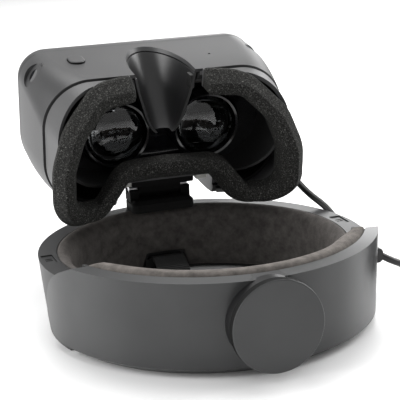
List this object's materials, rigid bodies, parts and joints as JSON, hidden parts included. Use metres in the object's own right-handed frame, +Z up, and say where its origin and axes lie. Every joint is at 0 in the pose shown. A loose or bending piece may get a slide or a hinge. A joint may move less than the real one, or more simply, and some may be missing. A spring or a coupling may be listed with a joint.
{
  "type": "vr headset",
  "caption": "Head-worn display with a rigid head ring: tilting, depth-sliding display, face foam, fit wheel at the rear and a coiled lead.",
  "frame": {"origin": "centre of the bottom of the bounding box without the lead, on the surface that the head ring stands on", "axes": "+Y forward out of the display, +Z up towards the display's nose side, as it stands upside down on the ring's crown-side rim; +X towards the lead"},
  "size_m": [0.3401, 0.2862, 0.1563],
  "materials": {
    "housing_plastic": "matt, fine texture",
    "ring_plastic": "satin",
    "rear_cover_plastic": "satin, slightly metallic",
    "frame_plastic": "satin",
    "black_plastic": "matt",
    "gloss_black": "polished",
    "lens_glass": "clear, coated",
    "camera_glass": "polished",
    "face_foam": "open-cell foam",
    "pad_suede": "brushed suede cloth",
    "strap_webbing": "woven webbing",
    "steel": "brushed",
    "gear_plastic": "moulded",
    "board": "solder mask",
    "display_glass": "panel glass",
    "aluminium": "plain",
    "cable_rubber": "soft jacket",
    "metal_tip": "plated"
  },
  "bodies": {
    "halo": {"halo_shell": "ring_plastic", "halo_liner": "black_plastic", "forehead_pad": "pad_suede", "hinge_bridge": "black_plastic", "hinge_pin": "steel", "top_strap": "strap_webbing", "strap_anchor_front": "black_plastic", "slide_tongues": "gear_plastic", "speakers": "black_plastic", "speaker_grilles": "ring_plastic", "headset_lead": "cable_rubber", "cable_clip": "cable_rubber", "cable_run": "cable_rubber", "cable_coil": "cable_rubber", "coil_tie": "cable_rubber", "connector": "cable_rubber", "connector_plug": "metal_tip"},
    "rear_band": {"rear_cover": "rear_cover_plastic", "rear_liner": "black_plastic", "rear_pad": "pad_suede", "cover_screws": "steel", "strap_anchor_rear": "black_plastic"},
    "wheel": {"fit_wheel": "rear_cover_plastic", "wheel_shaft": "steel", "pinion": "gear_plastic"},
    "rack_left": {"rack_left": "gear_plastic"},
    "rack_right": {"rack_right": "gear_plastic"},
    "carriage": {"slide_carriage": "black_plastic"},
    "button": {"depth_button": "housing_plastic"},
    "visor": {"visor_housing": "housing_plastic", "front_cover": "housing_plastic", "face_frame": "frame_plastic", "foam_frame": "frame_plastic", "seam_ring": "black_plastic", "eye_shroud": "black_plastic", "lens_tubes": "black_plastic", "display_tray": "black_plastic", "button_seat": "black_plastic", "microphone": "black_plastic", "proximity_sensor": "black_plastic", "side_bezel_left": "black_plastic", "side_bezel_right": "black_plastic", "recess_latch": "black_plastic", "lens_left": "lens_glass", "lens_right": "lens_glass", "front_cameras": "camera_glass", "side_cameras": "camera_glass", "crown_camera": "camera_glass", "face_foam": "face_foam", "tray_screws": "steel", "button_spring": "steel", "slide_rails": "gear_plastic", "main_board": "board", "display_panel": "display_glass", "cooling_plate": "aluminium", "cable_boot": "cable_rubber", "lens_plate": "gloss_black", "lens_ring_left": "gloss_black", "lens_ring_right": "gloss_black", "nose_recess": "gloss_black"}
  },
  "joints": [
    {"name": "visor_tilt", "type": "hinge", "parent": "halo", "child": "carriage", "pos_m": [0, 0.07995, 0.06], "axis": [1, 0, 0], "range_deg": [-12, 0]},
    {"name": "visor_slide", "type": "slide", "parent": "carriage", "child": "visor", "axis": [0, 0.9869, 0.1616], "range_m": [0, 0.015]},
    {"name": "depth_button", "type": "slide", "parent": "visor", "child": "button", "axis": [0, 0.1616, -0.9869], "range_m": [0, 0.0015], "stiffness_N_per_m": 400, "deforming": ["button_spring"]},
    {"name": "rear_slide", "type": "slide", "parent": "halo", "child": "rear_band", "axis": [0, -1, 0], "range_m": [0, 0.025]},
    {"name": "wheel_turn", "type": "hinge", "parent": "rear_band", "child": "wheel", "pos_m": [0, -0.13805, 0.0324], "axis": [0, -1, 0], "range_deg": [-160, 0]},
    {"name": "rack_right_run", "type": "hinge", "parent": "rear_band", "child": "rack_right", "pos_m": [0, -0.02505, 0.03], "axis": [0, 0, 1], "range_deg": [0, 15]},
    {"name": "rack_left_run", "type": "hinge", "parent": "rear_band", "child": "rack_left", "pos_m": [0, -0.02505, 0.03], "axis": [0, 0, 1], "range_deg": [-15, 0]}
  ],
  "couplings": [
    {"joint": "wheel_turn", "follows": "rear_slide", "rad_per_m": -111.11},
    {"joint": "rack_right_run", "follows": "rear_slide", "rad_per_m": 10.309},
    {"joint": "rack_left_run", "follows": "rear_slide", "rad_per_m": -10.309}
  ]
}
